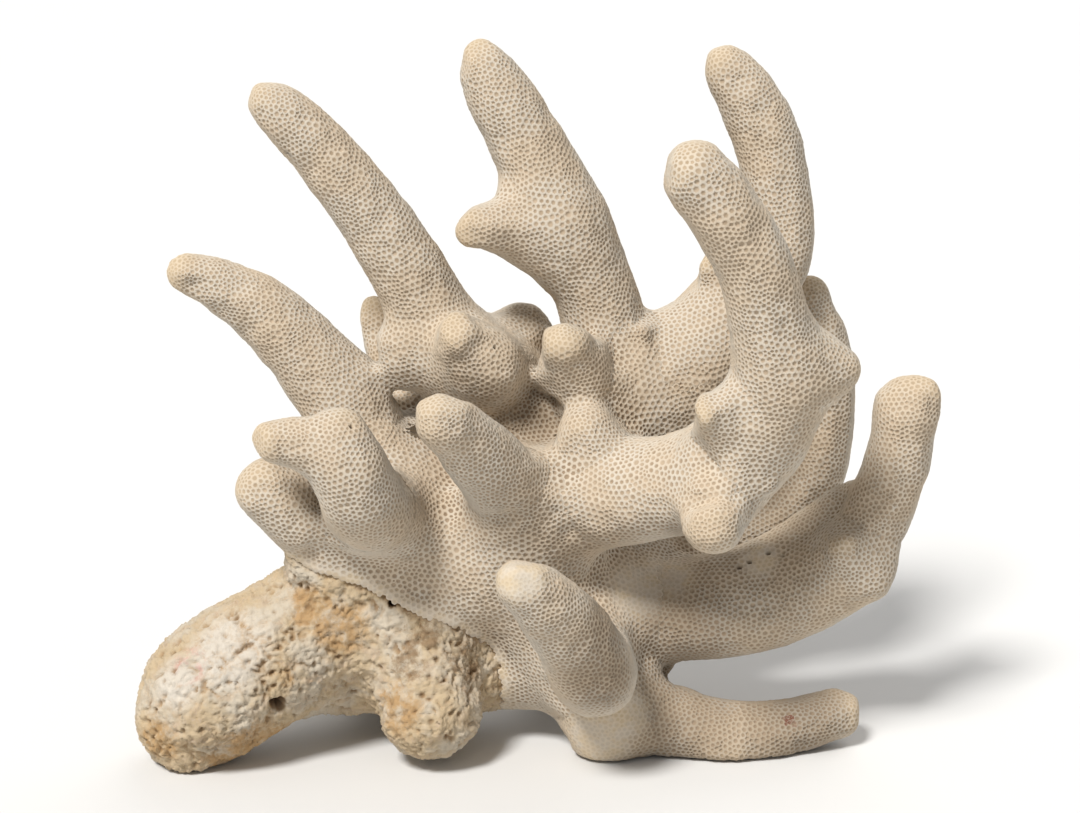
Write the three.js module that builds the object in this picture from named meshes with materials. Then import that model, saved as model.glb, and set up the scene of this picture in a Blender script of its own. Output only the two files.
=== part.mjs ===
// A branching finger coral: one stony skeleton that grew from a worn, thick base into a
// spray of blunt fingers and knobs. It lies on its base, and is sawn at its main forks into
// the nodes below. Millimetres, +Z up, +X to the right, +Y to the back.
import * as THREE from "three";

// Driving dimensions.
const LATTICE_STEP = 5.9; // spacing of the lattice that the skin is read from
const CELL_MARGIN = 0.25; // no vertex comes nearer than this to the edge of its lattice cell
const SAW_CUT = 0.3; // gap that the saw leaves between two nodes
const MAIN_FILLET = 9; // how far a finger's skin flows into its parent at the fork
const KNOB_FILLET = 6; // the same at a small knob
const CREASE_FILLET = 3.5; // the same where a finger stands clear of its parent
const FILLET_REACH = 2.6; // how far a fillet spreads, in root radii
const SAMPLE_STEP = 3; // spacing of the cones that stand for one curved limb
const REST_PLANE = 2.3; // height, in the limbs' frame, of the flat that the colony rests on
const WORN_CENTRE = new THREE.Vector3(-30, 2, 42); // a point on the line where the live skin stops
const WORN_SLANT = new THREE.Vector3(0.5, 0, 0.87); // the way that line faces, off the worn base
const WORN_END = -10; // how far to the right the worn base goes

const LIVE_COLOUR = 0xd6c4a4;
const WORN_COLOUR = 0xdccdb4;

// Each limb is a run of beads, x, y, z and radius, from inside its parent out to its tip.
// Its nodes say which node it belongs to from which bead on: the saw goes through there.
const limbs = {
  stump: {
    nodes: { trunk: 0 },
    fillet: MAIN_FILLET,
    beads: [
      [-90, -9, 13.3, 13.2],
      [-83, -8, 20.5, 17.4],
      [-71, -5, 28, 17],
      [-57, 0, 35, 16],
      [-43, 2, 39, 14],
      [-28, 2, 39, 13],
    ],
  },
  belly: {
    nodes: { trunk: 0 },
    fillet: MAIN_FILLET,
    beads: [
      [-60, 6, 24, 13],
      [-40, 8, 22, 13.5],
      [-20, 9, 22.5, 13.5],
      [4, 9, 23, 13.5],
    ],
  },
  stumpFoot: {
    nodes: { trunk: 0 },
    fillet: MAIN_FILLET,
    beads: [
      [-34, -4, 33, 11],
      [-29, -9, 25, 11],
      [-27.8, -12, 16.6, 12.4],
    ],
  },
  trunk: {
    nodes: { trunk: 0 },
    fillet: MAIN_FILLET,
    beads: [
      [-49, 0, 50, 12],
      [-35, 2, 58, 15],
      [-21, 2, 58, 16],
      [-7, 2, 52, 16],
      [2, 2, 39, 15],
      [9, 2, 26, 13],
    ],
  },
  backHeel: {
    nodes: { trunk: 0 },
    fillet: MAIN_FILLET,
    beads: [
      [-40, 14, 36, 14],
      [-38, 26, 22, 12],
      [-38, 32, 8, 11],
    ],
  },
  rearFoot: {
    nodes: { trunk: 0, rear_foot: 0.8 },
    fillet: MAIN_FILLET,
    beads: [
      [2, 10, 36, 13],
      [8, 30, 24, 10],
      [10, 44, 7, 9.5],
    ],
  },
  leftKnob: {
    nodes: { trunk: 0, left_knob: 0.9 },
    fillet: KNOB_FILLET,
    beads: [
      [-49, -4, 54, 10],
      [-57, -10, 66, 10],
      [-67, -14, 75.5, 8.2],
    ],
  },
  doubleKnob: {
    nodes: { trunk: 0, double_knob: 0.6 },
    fillet: KNOB_FILLET,
    beads: [
      [-36, -6, 65, 10.5],
      [-43, -26, 77, 10.5],
      [-45.5, -31, 87, 8.5],
      [-47, -31, 94, 6.8],
    ],
  },
  doubleKnobSide: {
    nodes: { double_knob: 0 },
    fillet: KNOB_FILLET,
    beads: [
      [-46.5, -30, 88, 6],
      [-54.5, -31, 92, 6.5],
      [-62.5, -32, 93.5, 6.2],
    ],
  },
  leftFinger: {
    nodes: { trunk: 0, left_finger: 1 },
    fillet: MAIN_FILLET,
    beads: [
      [-34, 4, 72, 11.5],
      [-43.5, 6, 82.5, 11.5],
      [-51, 8, 94, 11],
      [-60, 9, 105.5, 10],
      [-70, 8, 116, 8.5],
      [-80.5, 7, 122.5, 6.8],
      [-88, 6, 125.8, 5.2],
    ],
  },
  hiddenFinger: {
    nodes: { trunk: 0, hidden_finger: 1.2 },
    fillet: MAIN_FILLET,
    beads: [
      [-26, 14, 73, 9],
      [-32.5, 22, 81, 7],
      [-37.5, 28, 89.5, 6],
      [-41, 32, 99, 5],
      [-43.5, 35, 109, 5],
    ],
  },
  tallLeftFinger: {
    nodes: { trunk: 0, tall_left_finger: 1.4 },
    fillet: MAIN_FILLET,
    beads: [
      [1, 10, 73, 13],
      [-7, 13, 87, 14],
      [-18, 13, 100, 13],
      [-26.3, 12, 112, 10.6],
      [-33.5, 11, 126, 9.8],
      [-42.8, 10, 141, 8.8],
      [-52.5, 9, 154, 8],
      [-62.2, 8, 164.5, 7],
      [-67, 8, 168.3, 5.4],
    ],
  },
  tallLeftLobe: {
    nodes: { tall_left_finger: 0 },
    fillet: KNOB_FILLET,
    beads: [
      [-25, 12, 104, 9],
      [-36, 8, 105, 6.5],
    ],
  },
  tallLeftFrontKnob: {
    nodes: { tall_left_finger: 0 },
    fillet: KNOB_FILLET,
    beads: [
      [-17.5, 4, 102.5, 8.5],
      [-20, -7, 112.5, 6.4],
    ],
  },
  tallLeftShoulder: {
    nodes: { tall_left_finger: 0 },
    fillet: KNOB_FILLET,
    beads: [
      [-10.5, 9, 98, 9.5],
      [-12.5, -2, 103.5, 9],
    ],
  },
  tallLeftBackKnob: {
    nodes: { tall_left_finger: 0 },
    fillet: KNOB_FILLET,
    beads: [
      [-15.5, 18, 99, 8.5],
      [-4.8, 26, 105.5, 8.4],
    ],
  },
  tallMiddleFinger: {
    nodes: { trunk: 0, middle_stem: 0.3, tall_middle_finger: 2.2 },
    fillet: MAIN_FILLET,
    beads: [
      [15, 10, 79, 11],
      [19, 13, 92, 11.5],
      [18, 15, 106.5, 11],
      [13, 15, 121, 10.5],
      [6.5, 15, 136, 11.5],
      [0.7, 15, 149, 10],
      [-5.8, 15, 161.5, 9.2],
      [-11.5, 15, 171.3, 8],
      [-14.8, 15, 176.8, 6.2],
    ],
  },
  tallMiddleSideKnob: {
    nodes: { tall_middle_finger: 0 },
    fillet: KNOB_FILLET,
    beads: [
      [4, 14, 137, 9],
      [-7, 10, 137, 7.6],
      [-15.2, 6, 137, 6.1],
    ],
  },
  tallMiddleBulge: {
    nodes: { tall_middle_finger: 0 },
    fillet: KNOB_FILLET,
    beads: [
      [5, 14, 130, 8.5],
      [-2.5, 13, 129.5, 5],
    ],
  },
  middleKnob: {
    nodes: { middle_stem: 0, middle_knob: 0.9 },
    fillet: KNOB_FILLET,
    beads: [
      [16.5, 8, 91, 8.5],
      [10.3, 0, 101, 8.5],
      [6, -7, 110.5, 6.8],
    ],
  },
  tallRightFinger: {
    nodes: { middle_stem: 0, tall_right_finger: 0.9 },
    fillet: MAIN_FILLET,
    beads: [
      [19, 13, 91, 11],
      [30.5, 15, 97, 10.5],
      [42, 18, 104.5, 11.5],
      [55, 22, 115.5, 9.5],
      [62.3, 25, 129, 8],
      [60.4, 27, 143, 8.6],
      [57.8, 28, 156, 8.7],
      [51.4, 28, 168, 8],
      [47, 28, 174.5, 6.2],
    ],
  },
  stemWeb: {
    nodes: { middle_stem: 0 },
    fillet: MAIN_FILLET,
    beads: [
      [23, 12, 80, 10],
      [34, 13, 87, 9],
      [43, 15, 96, 8.5],
    ],
  },
  saddleKnob: {
    nodes: { tall_right_finger: 0 },
    fillet: KNOB_FILLET,
    beads: [
      [45.5, 19, 113.5, 6],
      [43.5, 16, 126, 4.2],
    ],
  },
  frontArm: {
    nodes: { trunk: 0, front_arm: 1.5, front_finger: 3.65 },
    fillet: MAIN_FILLET,
    beads: [
      [-13, 2, 52, 14],
      [5, -4, 66, 12],
      [22, -12, 73.8, 12.5],
      [39, -20, 80.5, 12.5],
      [51, -26, 91.5, 12.5],
      [56, -31, 106.5, 11.5],
      [53.5, -35, 122, 9.8],
      [49.5, -38, 136, 8.8],
      [42, -40, 149.5, 8.8],
      [35.3, -41, 158, 8.4],
    ],
  },
  frontSideKnob: {
    nodes: { front_finger: 0 },
    fillet: KNOB_FILLET,
    beads: [
      [57.5, -31, 111, 10],
      [65, -31, 111, 8.2],
      [69, -31, 110.5, 6.8],
    ],
  },
  frontSmallKnob: {
    nodes: { front_finger: 0 },
    fillet: KNOB_FILLET,
    beads: [
      [44, -30, 96.5, 7],
      [39, -38, 102, 4.5],
    ],
  },
  lowKnob: {
    nodes: { front_arm: 0, low_knob: 0.8 },
    fillet: KNOB_FILLET,
    beads: [
      [43.5, -26, 80.5, 9.5],
      [41, -38, 75, 8],
    ],
  },
  shortKnob: {
    nodes: { trunk: 0, short_knob: 1.1 },
    fillet: KNOB_FILLET,
    beads: [
      [18, -2, 69, 9],
      [15, -6, 78, 9],
      [11.5, -10, 88.5, 7.3],
    ],
  },
  leaningFinger: {
    nodes: { trunk: 0, leaning_finger: 1 },
    fillet: MAIN_FILLET,
    beads: [
      [-1.5, -2, 64, 11.5],
      [-7.5, -14, 76.5, 10.5],
      [-16.5, -26, 90, 8.5],
      [-23, -33, 99, 7.2],
    ],
  },
  rearArm: {
    nodes: { trunk: 0, rear_arm: 0.9 },
    fillet: MAIN_FILLET,
    beads: [
      [15, 14, 47.5, 10],
      [36.5, 28, 44.5, 8],
      [57, 36, 49.5, 8],
      [72, 38, 61.5, 8.5],
      [75.6, 38, 78, 8.2],
      [75, 37, 97, 7.6],
      [70, 35, 113, 6.3],
    ],
  },
  lowerArm: {
    nodes: { trunk: 0, lower_arm: 1.2, lower_finger: 4.6 },
    fillet: MAIN_FILLET,
    beads: [
      [8, 6, 37, 12.5],
      [26, 8, 36, 12],
      [45.5, 9, 35.6, 12.6],
      [65, 8, 40.6, 12],
      [78.5, 6, 50.4, 11.2],
      [86.3, 4, 65, 8.8],
      [90.3, 3, 78.5, 8.4],
      [92.4, 2, 91.5, 7.2],
    ],
  },
  lowerRidge: {
    nodes: { lower_arm: 0 },
    fillet: KNOB_FILLET,
    beads: [
      [39, 10, 38, 8],
      [57, 13, 47, 6.5],
      [71, 13, 57.5, 5.5],
      [79, 12, 66, 4.5],
    ],
  },
  lowerTipKnob: {
    nodes: { lower_finger: 0 },
    fillet: KNOB_FILLET,
    beads: [
      [91.5, 2, 93, 6.5],
      [96.5, 0, 96, 3.6],
    ],
  },
  lowerSwirlKnob: {
    nodes: { lower_arm: 0 },
    fillet: KNOB_FILLET,
    beads: [
      [77.5, 0, 52.5, 6.5],
      [76, -6, 58, 4.5],
    ],
  },
  lowerCornerKnob: {
    nodes: { lower_arm: 0 },
    fillet: KNOB_FILLET,
    beads: [
      [82, 2, 49, 7],
      [85, -2, 48, 4.5],
    ],
  },
  floorFinger: {
    nodes: { trunk: 0, floor_finger: 0.6 },
    fillet: MAIN_FILLET,
    beads: [
      [11, 0, 26, 11.5],
      [18.5, -2, 15.5, 11.5],
      [30, -2, 10.5, 10],
      [43, -3, 7, 9.3],
      [55.5, -3, 6, 8.8],
      [68, -1, 8.6, 7.2],
      [77.5, 1, 10.6, 6.6],
    ],
  },
  floorHeel: {
    nodes: { floor_finger: 0 },
    fillet: MAIN_FILLET,
    beads: [
      [17.5, -4, 14.5, 10],
      [16, -6, 7.5, 7.5],
    ],
  },
  underFinger: {
    nodes: { trunk: 0, under_finger: 0.7 },
    fillet: CREASE_FILLET,
    beads: [
      [11.5, -6, 33, 10],
      [13.5, -23, 30.5, 10.8],
      [8.5, -33, 43.5, 10],
      [1, -42, 56, 8.2],
      [-4.5, -47, 63, 6.4],
    ],
  },
  rearLeftFinger: {
    nodes: { trunk: 0, rear_left_finger: 0.8 },
    fillet: MAIN_FILLET,
    beads: [
      [-20, 14, 62, 11],
      [-26, 34, 76, 9],
      [-31, 45, 97, 8],
      [-37, 50, 114, 6.5],
      [-40, 51, 124, 4.5],
    ],
  },
  rearMiddleFinger: {
    nodes: { trunk: 0, rear_middle_finger: 0.8 },
    fillet: MAIN_FILLET,
    beads: [
      [2, 14, 60, 11],
      [5, 34, 70, 9.5],
      [10, 46, 88, 8.5],
      [14, 50, 105, 7],
      [15, 51, 115, 5],
    ],
  },
  rearRightFinger: {
    nodes: { tall_right_finger: 0, rear_right_finger: 0.8 },
    fillet: MAIN_FILLET,
    beads: [
      [42, 18, 104, 10],
      [48, 34, 112, 8],
      [52, 43, 124, 7],
      [52, 47, 133, 5],
    ],
  },
};

// One limb as a run of short cones along a smooth curve through its beads.
function conesOf({ nodes, beads }) {
  const centres = beads.map(([x, y, z]) => new THREE.Vector3(x, y, z));
  const line = new THREE.CatmullRomCurve3(centres, false, "centripetal");
  const widths = new THREE.SplineCurve(
    beads.map(([, , , radius], i) => new THREE.Vector2(i, radius)),
  );
  const last = beads.length - 1;
  const cones = [];
  const starts = Object.entries(nodes);
  starts.forEach(([node, from], n) => {
    const to = n + 1 < starts.length ? starts[n + 1][1] : last;
    const count = Math.ceil((line.getLength() * (to - from)) / last / SAMPLE_STEP);
    const rings = Array.from({ length: count + 1 }, (_, i) => {
      const share = (from + ((to - from) * i) / count) / last;
      return { centre: line.getPoint(share), radius: widths.getPoint(share).y };
    });
    rings.slice(1).forEach((end, i) => {
      const along = end.centre.clone().sub(rings[i].centre);
      cones.push({
        node,
        start: rings[i].centre,
        along,
        lengthSq: along.lengthSq(),
        radius: rings[i].radius,
        widening: end.radius - rings[i].radius,
      });
    });
  });
  return cones;
}

function distanceToCone(x, y, z, { start, along, lengthSq, radius, widening }) {
  const dx = x - start.x;
  const dy = y - start.y;
  const dz = z - start.z;
  const dot = dx * along.x + dy * along.y + dz * along.z;
  const share = Math.min(1, Math.max(0, dot / lengthSq));
  const gap = Math.hypot(dx - share * along.x, dy - share * along.y, dz - share * along.z);
  return gap - radius - share * widening;
}

// Two skins joined, with a fillet where both are near.
function blend(a, b, fillet) {
  const share = Math.max(fillet - Math.abs(a - b), 0) / fillet;
  return Math.min(a, b) - (share * share * fillet) / 4;
}

const skins = Object.values(limbs).map((limb) => {
  const [x, y, z, radius] = limb.beads[0];
  return {
    cones: conesOf(limb),
    root: new THREE.Vector3(x, y, z),
    reach: FILLET_REACH * radius,
    fillet: limb.fillet,
  };
});

// How far a point is outside the colony's skin. A limb flows into the others near its root
// only, so two fingers that pass close by stay apart.
function outside(x, y, z) {
  let distance = Infinity;
  for (const { cones, root, reach, fillet } of skins) {
    const fromRoot = Math.hypot(x - root.x, y - root.y, z - root.z) / reach;
    const flow = THREE.MathUtils.smoothstep(2 - fromRoot, 0, 1);
    let own = Infinity;
    for (const cone of cones) own = Math.min(own, distanceToCone(x, y, z, cone));
    distance = distance === Infinity ? own : blend(distance, own, 0.5 + fillet * flow);
  }
  return distance;
}

// The node that a point belongs to: that of the nearest cone, and under the slanting line at
// the left the worn base in place of the trunk.
function nodeAt(x, y, z) {
  let nearest = Infinity;
  let node = "";
  for (const cone of skins.flatMap(({ cones }) => cones)) {
    const distance = distanceToCone(x, y, z, cone);
    if (distance < nearest) {
      nearest = distance;
      node = cone.node;
    }
  }
  const fromLine = new THREE.Vector3(x, y, z).sub(WORN_CENTRE).dot(WORN_SLANT);
  return node === "trunk" && fromLine < 0 && x < WORN_END ? "worn_base" : node;
}

// What a point lies in: a node's name, or nothing.
function ownerAt({ x, y, z }) {
  return z > REST_PLANE && outside(x, y, z) < 0 ? nodeAt(x, y, z) : "";
}

// A lattice round all the limbs. The rest plane lies halfway between two of its layers.
const box = new THREE.Box3();
for (const [x, y, z, radius] of Object.values(limbs).flatMap(({ beads }) => beads)) {
  box.expandByPoint(new THREE.Vector3(x, y, z).addScalar(radius));
  box.expandByPoint(new THREE.Vector3(x, y, z).subScalar(radius));
}
box.expandByScalar(2 * LATTICE_STEP);
box.min.z = REST_PLANE - 1.5 * LATTICE_STEP;
const [wide, deep, high] = box
  .getSize(new THREE.Vector3())
  .toArray()
  .map((length) => Math.ceil(length / LATTICE_STEP) + 1);
const strides = [1, wide, wide * deep];
const spotOf = (n) =>
  new THREE.Vector3(n % wide, Math.floor(n / wide) % deep, Math.floor(n / strides[2]))
    .multiplyScalar(LATTICE_STEP)
    .add(box.min);
const owners = Array.from({ length: wide * deep * high }, (_, n) => ownerAt(spotOf(n)));

// Each cell of the lattice has eight corners: bit 0 of a corner's number is its step along x,
// bit 1 along y and bit 2 along z.
const cells = [];
for (let k = 0; k < high - 1; k++)
  for (let j = 0; j < deep - 1; j++)
    for (let i = 0; i < wide - 1; i++)
      cells.push(i + strides[1] * j + strides[2] * k);
const cornersOf = (cell) =>
  [0, 1, 2, 3, 4, 5, 6, 7].map(
    (c) => cell + (c & 1) + strides[1] * ((c >> 1) & 1) + strides[2] * (c >> 2),
  );
const isMixed = (cell) => cornersOf(cell).some((n) => owners[n] !== owners[cell]);

// A node would touch itself along an edge where it holds two opposite corners of a square and
// not the other two, and at a point where the same is so of a cell, so it's given one more.
function closeTouches() {
  let given = 0;
  const give = (n, node) => {
    owners[n] = node;
    given += 1;
  };
  for (const cell of cells.filter(isMixed)) {
    const corners = cornersOf(cell);
    for (const [a, b, c, d] of [
      [0, 1, 3, 2],
      [4, 5, 7, 6],
      [0, 1, 5, 4],
      [2, 3, 7, 6],
      [0, 2, 6, 4],
      [1, 3, 7, 5],
    ].map((square) => square.map((n) => corners[n]))) {
      for (const node of [owners[a], owners[b]].filter(Boolean)) {
        const held = [a, b, c, d].map((n) => owners[n] === node);
        if (held[0] !== held[1] && held[0] === held[2] && held[1] === held[3])
          give(held[0] ? b : a, node);
      }
    }
    for (const [near, far] of [
      [0, 7],
      [1, 6],
      [2, 5],
      [3, 4],
    ]) {
      for (const node of new Set(corners.map((n) => owners[n]).filter(Boolean))) {
        const held = corners.map((n) => owners[n] === node);
        const others = held.filter((_, n) => n !== near && n !== far);
        if (held[near] !== held[far] || others.some((isHeld) => isHeld === held[near])) continue;
        give(held[near] ? corners[near ^ 1] : corners[near], node);
      }
    }
  }
  return given;
}

while (closeTouches() > 0);

// Halves the stretch between two points with different owners until it's short.
function crossing(start, end, owner) {
  const low = start.clone();
  const high = end.clone();
  const middle = new THREE.Vector3();
  for (let round = 0; round < 7; round++) {
    middle.addVectors(low, high).divideScalar(2);
    (ownerAt(middle) === owner ? low : high).copy(middle);
  }
  return middle;
}

// Moves a point near the skin onto it, against the slope of the distance.
function ontoSkin(point, staysLevel) {
  const probe = 0.05;
  for (let round = 0; round < 4; round++) {
    const { x, y, z } = point;
    const here = outside(x, y, z);
    const slope = new THREE.Vector3(
      outside(x + probe, y, z) - here,
      outside(x, y + probe, z) - here,
      staysLevel ? 0 : outside(x, y, z + probe) - here,
    ).divideScalar(probe);
    point.addScaledVector(slope, -here / Math.max(slope.lengthSq(), 0.25));
  }
}

// Each node has one vertex in each cell that it shares with another owner. It's in the middle
// of where the cell's edges pass between two nodes, if any does, and else of where they leave
// the node. On the outside it's moved onto the skin.
const vertices = new Map();
const keyOf = (cell, node) => cell + " " + node;
for (const cell of cells.filter(isMixed)) {
  const corners = cornersOf(cell);
  const edges = corners.flatMap((n, c) => [1, 2, 4].map((bit) => [n, corners[c | bit]]));
  const crossed = edges.filter(([n, other]) => owners[n] !== owners[other]);
  const sawn = crossed.filter(([n, other]) => owners[n] && owners[other]);
  for (const node of new Set(corners.map((n) => owners[n]).filter(Boolean))) {
    const left = crossed.filter((edge) => edge.some((n) => owners[n] === node));
    const used = sawn.length ? sawn : left;
    const vertex = new THREE.Vector3();
    for (const [n, other] of used) vertex.add(crossing(spotOf(n), spotOf(other), owners[n]));
    vertex.divideScalar(used.length);
    const isLowest = spotOf(cell).z < REST_PLANE;
    if (isLowest) vertex.z = REST_PLANE;
    const isOut = outside(vertex.x, vertex.y, vertex.z) > 0;
    const sides = isLowest ? corners.slice(4) : corners;
    if (isOut || sides.some((n) => !owners[n])) ontoSkin(vertex, isLowest && !isOut);
    if (isLowest) vertex.z = Math.max(vertex.z, REST_PLANE);
    const low = spotOf(cell).addScalar(CELL_MARGIN);
    const high = low.clone().addScalar(LATTICE_STEP - 2 * CELL_MARGIN);
    vertices.set(keyOf(cell, node), vertex.clamp(low, high));
  }
}

// The faces of each node: one quad, as two triangles, round each lattice edge where it ends.
const nodes = new Map();
for (const name of new Set(owners.filter(Boolean)))
  nodes.set(name, { places: new Map(), faces: [], sawn: new Map() });

function addQuad(name, cellRing, isSawn) {
  const { places, faces, sawn } = nodes.get(name);
  const ring = cellRing.map((cell) => keyOf(cell, name));
  const [a, b, c, d] = ring;
  const across = (from, to) => vertices.get(from).distanceTo(vertices.get(to));
  const triangles = across(a, c) < across(b, d) ? [a, b, c, a, c, d] : [b, c, d, b, d, a];
  for (const key of triangles) {
    if (!places.has(key)) places.set(key, places.size);
    faces.push(places.get(key));
  }
  if (!isSawn) return;
  const normal = new THREE.Vector3()
    .subVectors(vertices.get(c), vertices.get(a))
    .cross(new THREE.Vector3().subVectors(vertices.get(d), vertices.get(b)));
  for (const key of ring) {
    if (!sawn.has(key)) sawn.set(key, new THREE.Vector3());
    sawn.get(key).add(normal);
  }
}

for (const cell of cells)
  strides.forEach((stride, axis) => {
    const owner = owners[cell];
    const next = owners[cell + stride];
    if (owner === next) return;
    const u = strides[(axis + 1) % 3];
    const v = strides[(axis + 2) % 3];
    const ring = [cell, cell - u, cell - u - v, cell - v];
    if (owner) addQuad(owner, ring, next);
    if (next) addQuad(next, ring.toReversed(), owner);
  });

// The skin's middle of the bottom goes to the origin.
const extent = new THREE.Box3().setFromPoints([...vertices.values()]);
const shift = new THREE.Vector3(
  -(extent.min.x + extent.max.x) / 2,
  -(extent.min.y + extent.max.y) / 2,
  -REST_PLANE,
);

const live = new THREE.MeshStandardMaterial({
  name: "live_skin",
  color: LIVE_COLOUR,
  roughness: 0.85,
  metalness: 0,
});
const worn = new THREE.MeshStandardMaterial({
  name: "worn_stone",
  color: WORN_COLOUR,
  roughness: 0.95,
  metalness: 0,
});

const group = new THREE.Group();
group.name = "branching_coral";
for (const [name, { places, faces, sawn }] of nodes) {
  const positions = [...places.keys()].flatMap((key) => {
    const vertex = vertices.get(key).clone();
    const facing = sawn.get(key);
    if (facing) {
      if (vertex.z === REST_PLANE) facing.z = 0;
      vertex.addScaledVector(facing.normalize(), -SAW_CUT / 2);
    }
    return vertex.add(shift).toArray();
  });
  const geometry = new THREE.BufferGeometry()
    .setAttribute("position", new THREE.Float32BufferAttribute(positions, 3))
    .setIndex(faces);
  geometry.computeVertexNormals();
  const mesh = new THREE.Mesh(geometry, (name === "worn_base" ? worn : live).clone());
  mesh.name = name;
  group.add(mesh);
}

export default group;
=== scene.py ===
import math

import bmesh
import bpy
import numpy as np
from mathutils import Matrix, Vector
from mathutils.bvhtree import BVHTree


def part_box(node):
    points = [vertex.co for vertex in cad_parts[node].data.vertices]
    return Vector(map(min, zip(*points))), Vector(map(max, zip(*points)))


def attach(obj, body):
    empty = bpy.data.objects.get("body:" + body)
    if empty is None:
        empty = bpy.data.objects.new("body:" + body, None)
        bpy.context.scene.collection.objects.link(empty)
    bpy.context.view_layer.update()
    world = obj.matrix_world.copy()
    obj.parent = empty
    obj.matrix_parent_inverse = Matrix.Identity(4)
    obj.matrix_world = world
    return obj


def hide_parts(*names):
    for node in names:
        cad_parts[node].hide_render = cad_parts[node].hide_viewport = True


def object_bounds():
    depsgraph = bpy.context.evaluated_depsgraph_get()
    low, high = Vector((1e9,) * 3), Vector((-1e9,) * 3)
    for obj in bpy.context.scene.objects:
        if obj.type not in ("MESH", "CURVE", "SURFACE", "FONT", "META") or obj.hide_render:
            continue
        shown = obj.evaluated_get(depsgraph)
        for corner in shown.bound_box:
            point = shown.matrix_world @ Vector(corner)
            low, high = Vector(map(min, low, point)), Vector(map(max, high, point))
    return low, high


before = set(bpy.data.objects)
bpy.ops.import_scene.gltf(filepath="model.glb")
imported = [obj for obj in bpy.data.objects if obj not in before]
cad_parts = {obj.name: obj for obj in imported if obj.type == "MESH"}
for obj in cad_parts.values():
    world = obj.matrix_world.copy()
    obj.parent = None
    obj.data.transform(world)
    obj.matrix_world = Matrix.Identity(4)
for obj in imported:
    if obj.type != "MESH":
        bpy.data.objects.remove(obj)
cad_low, cad_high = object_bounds()

# ---------------------------------------------------------------------------------------
# The camera. It stands in front of the colony on a long lens, as for a catalogue, and looks
# along +Y and a little down, at the middle of the colony's height.
# ---------------------------------------------------------------------------------------
CAMERA_TILT = math.radians(15)
CAMERA_REACH = 0.6

lens = bpy.data.cameras.new("camera")
lens.lens = 80
lens.sensor_width = 36
camera = bpy.data.objects.new("camera", lens)
bpy.context.scene.collection.objects.link(camera)
bpy.context.scene.camera = camera
looked_at = Vector((0.0012, -0.002, 0.0907))
towards = Vector((0, math.cos(CAMERA_TILT), -math.sin(CAMERA_TILT)))
camera.location = looked_at - CAMERA_REACH * towards
camera.rotation_euler = towards.to_track_quat("-Z", "Y").to_euler()

# ---------------------------------------------------------------------------------------
# The skeleton's skin. The real skeleton is one unbroken piece of stone, so copies of all its
# sawn parts are fused into one, with every facet of the saw and the mesh smoothed away. All
# the pieces below are cut out of this skin.
# ---------------------------------------------------------------------------------------
SKIN_VOXEL = 0.0008
SKIN_SWELL = 0.0002
SMOOTHING_ROUNDS = 60
SMOOTHING_IN = 0.60
SMOOTHING_OUT = 0.62


def solid_copy(node):
    """The corners and faces of a sawn part, swelled a hair so that it joins its neighbours."""
    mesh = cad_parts[node].data
    shape = bmesh.new()
    shape.from_mesh(mesh)
    bmesh.ops.remove_doubles(shape, verts=shape.verts, dist=1e-6)
    shape.normal_update()
    spots = [vert.co + vert.normal * SKIN_SWELL for vert in shape.verts]
    faces = [[vert.index for vert in face.verts] for face in shape.faces]
    shape.free()
    return spots, faces


spots, faces, owner_of_face = [], [], []
for name in sorted(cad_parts):
    own_spots, own_faces = solid_copy(name)
    faces += [[n + len(spots) for n in face] for face in own_faces]
    spots += own_spots
    owner_of_face += [name] * len(own_faces)
sawn_skeleton = BVHTree.FromPolygons(spots, faces)
sawn = bpy.data.meshes.new("sawn_skeleton")
sawn.from_pydata(spots, [], faces)
fused = bpy.data.objects.new("fused_skeleton", sawn)
bpy.context.scene.collection.objects.link(fused)
fusing = fused.modifiers.new("fusing", "REMESH")
fusing.mode = "VOXEL"
fusing.voxel_size = SKIN_VOXEL
skin = bpy.data.meshes.new_from_object(fused.evaluated_get(bpy.context.evaluated_depsgraph_get()))
bpy.data.objects.remove(fused)


def spots_of(mesh):
    flat = np.empty(3 * len(mesh.vertices))
    mesh.vertices.foreach_get("co", flat)
    return flat.reshape(-1, 3)


def edges_of(mesh):
    flat = np.empty(2 * len(mesh.edges), dtype=np.int64)
    mesh.edges.foreach_get("vertices", flat)
    return flat.reshape(-1, 2)


def neighbour_mean(values, edges):
    """For each corner of a mesh, the mean of a value, or of a row of values, next to it."""
    count = len(values)
    ends = np.concatenate([edges[:, 0], edges[:, 1]])
    others = np.concatenate([edges[:, 1], edges[:, 0]])
    shares = np.bincount(ends, minlength=count).clip(1)
    if values.ndim == 1:
        return np.bincount(ends, values[others], count) / shares
    return np.stack(
        [np.bincount(ends, values[others, axis], count) / shares for axis in range(values.shape[1])],
        axis=1,
    )


skin_spots, skin_edges = spots_of(skin), edges_of(skin)
for _ in range(SMOOTHING_ROUNDS):
    skin_spots += SMOOTHING_IN * (neighbour_mean(skin_spots, skin_edges) - skin_spots)
    skin_spots -= SMOOTHING_OUT * (neighbour_mean(skin_spots, skin_edges) - skin_spots)
skin_spots = np.clip(skin_spots, cad_low, cad_high)
skin.vertices.foreach_set("co", skin_spots.ravel())
skin.update()

# ---------------------------------------------------------------------------------------
# The cells. Every polyp built a cup about 1.5 mm wide, and the cups fill the skin like a
# honeycomb. A net with one corner for each cup is laid over the skin here, and its long
# threads are cut, its short ones gathered and the rest pulled even.
# ---------------------------------------------------------------------------------------
CELL_SPACING = 0.00154
LONGEST_THREAD = 1.36 * CELL_SPACING
SHORTEST_THREAD = 0.74 * CELL_SPACING
HEXAGON_SHARE = 0.866
MOST_THREADS = 10
NET_ROUNDS = 6
NET_PULLS = 4
NET_PULL = 0.7
CELL_UNEVENNESS = 0.00010
SAME_WALL = 0.3

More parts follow.
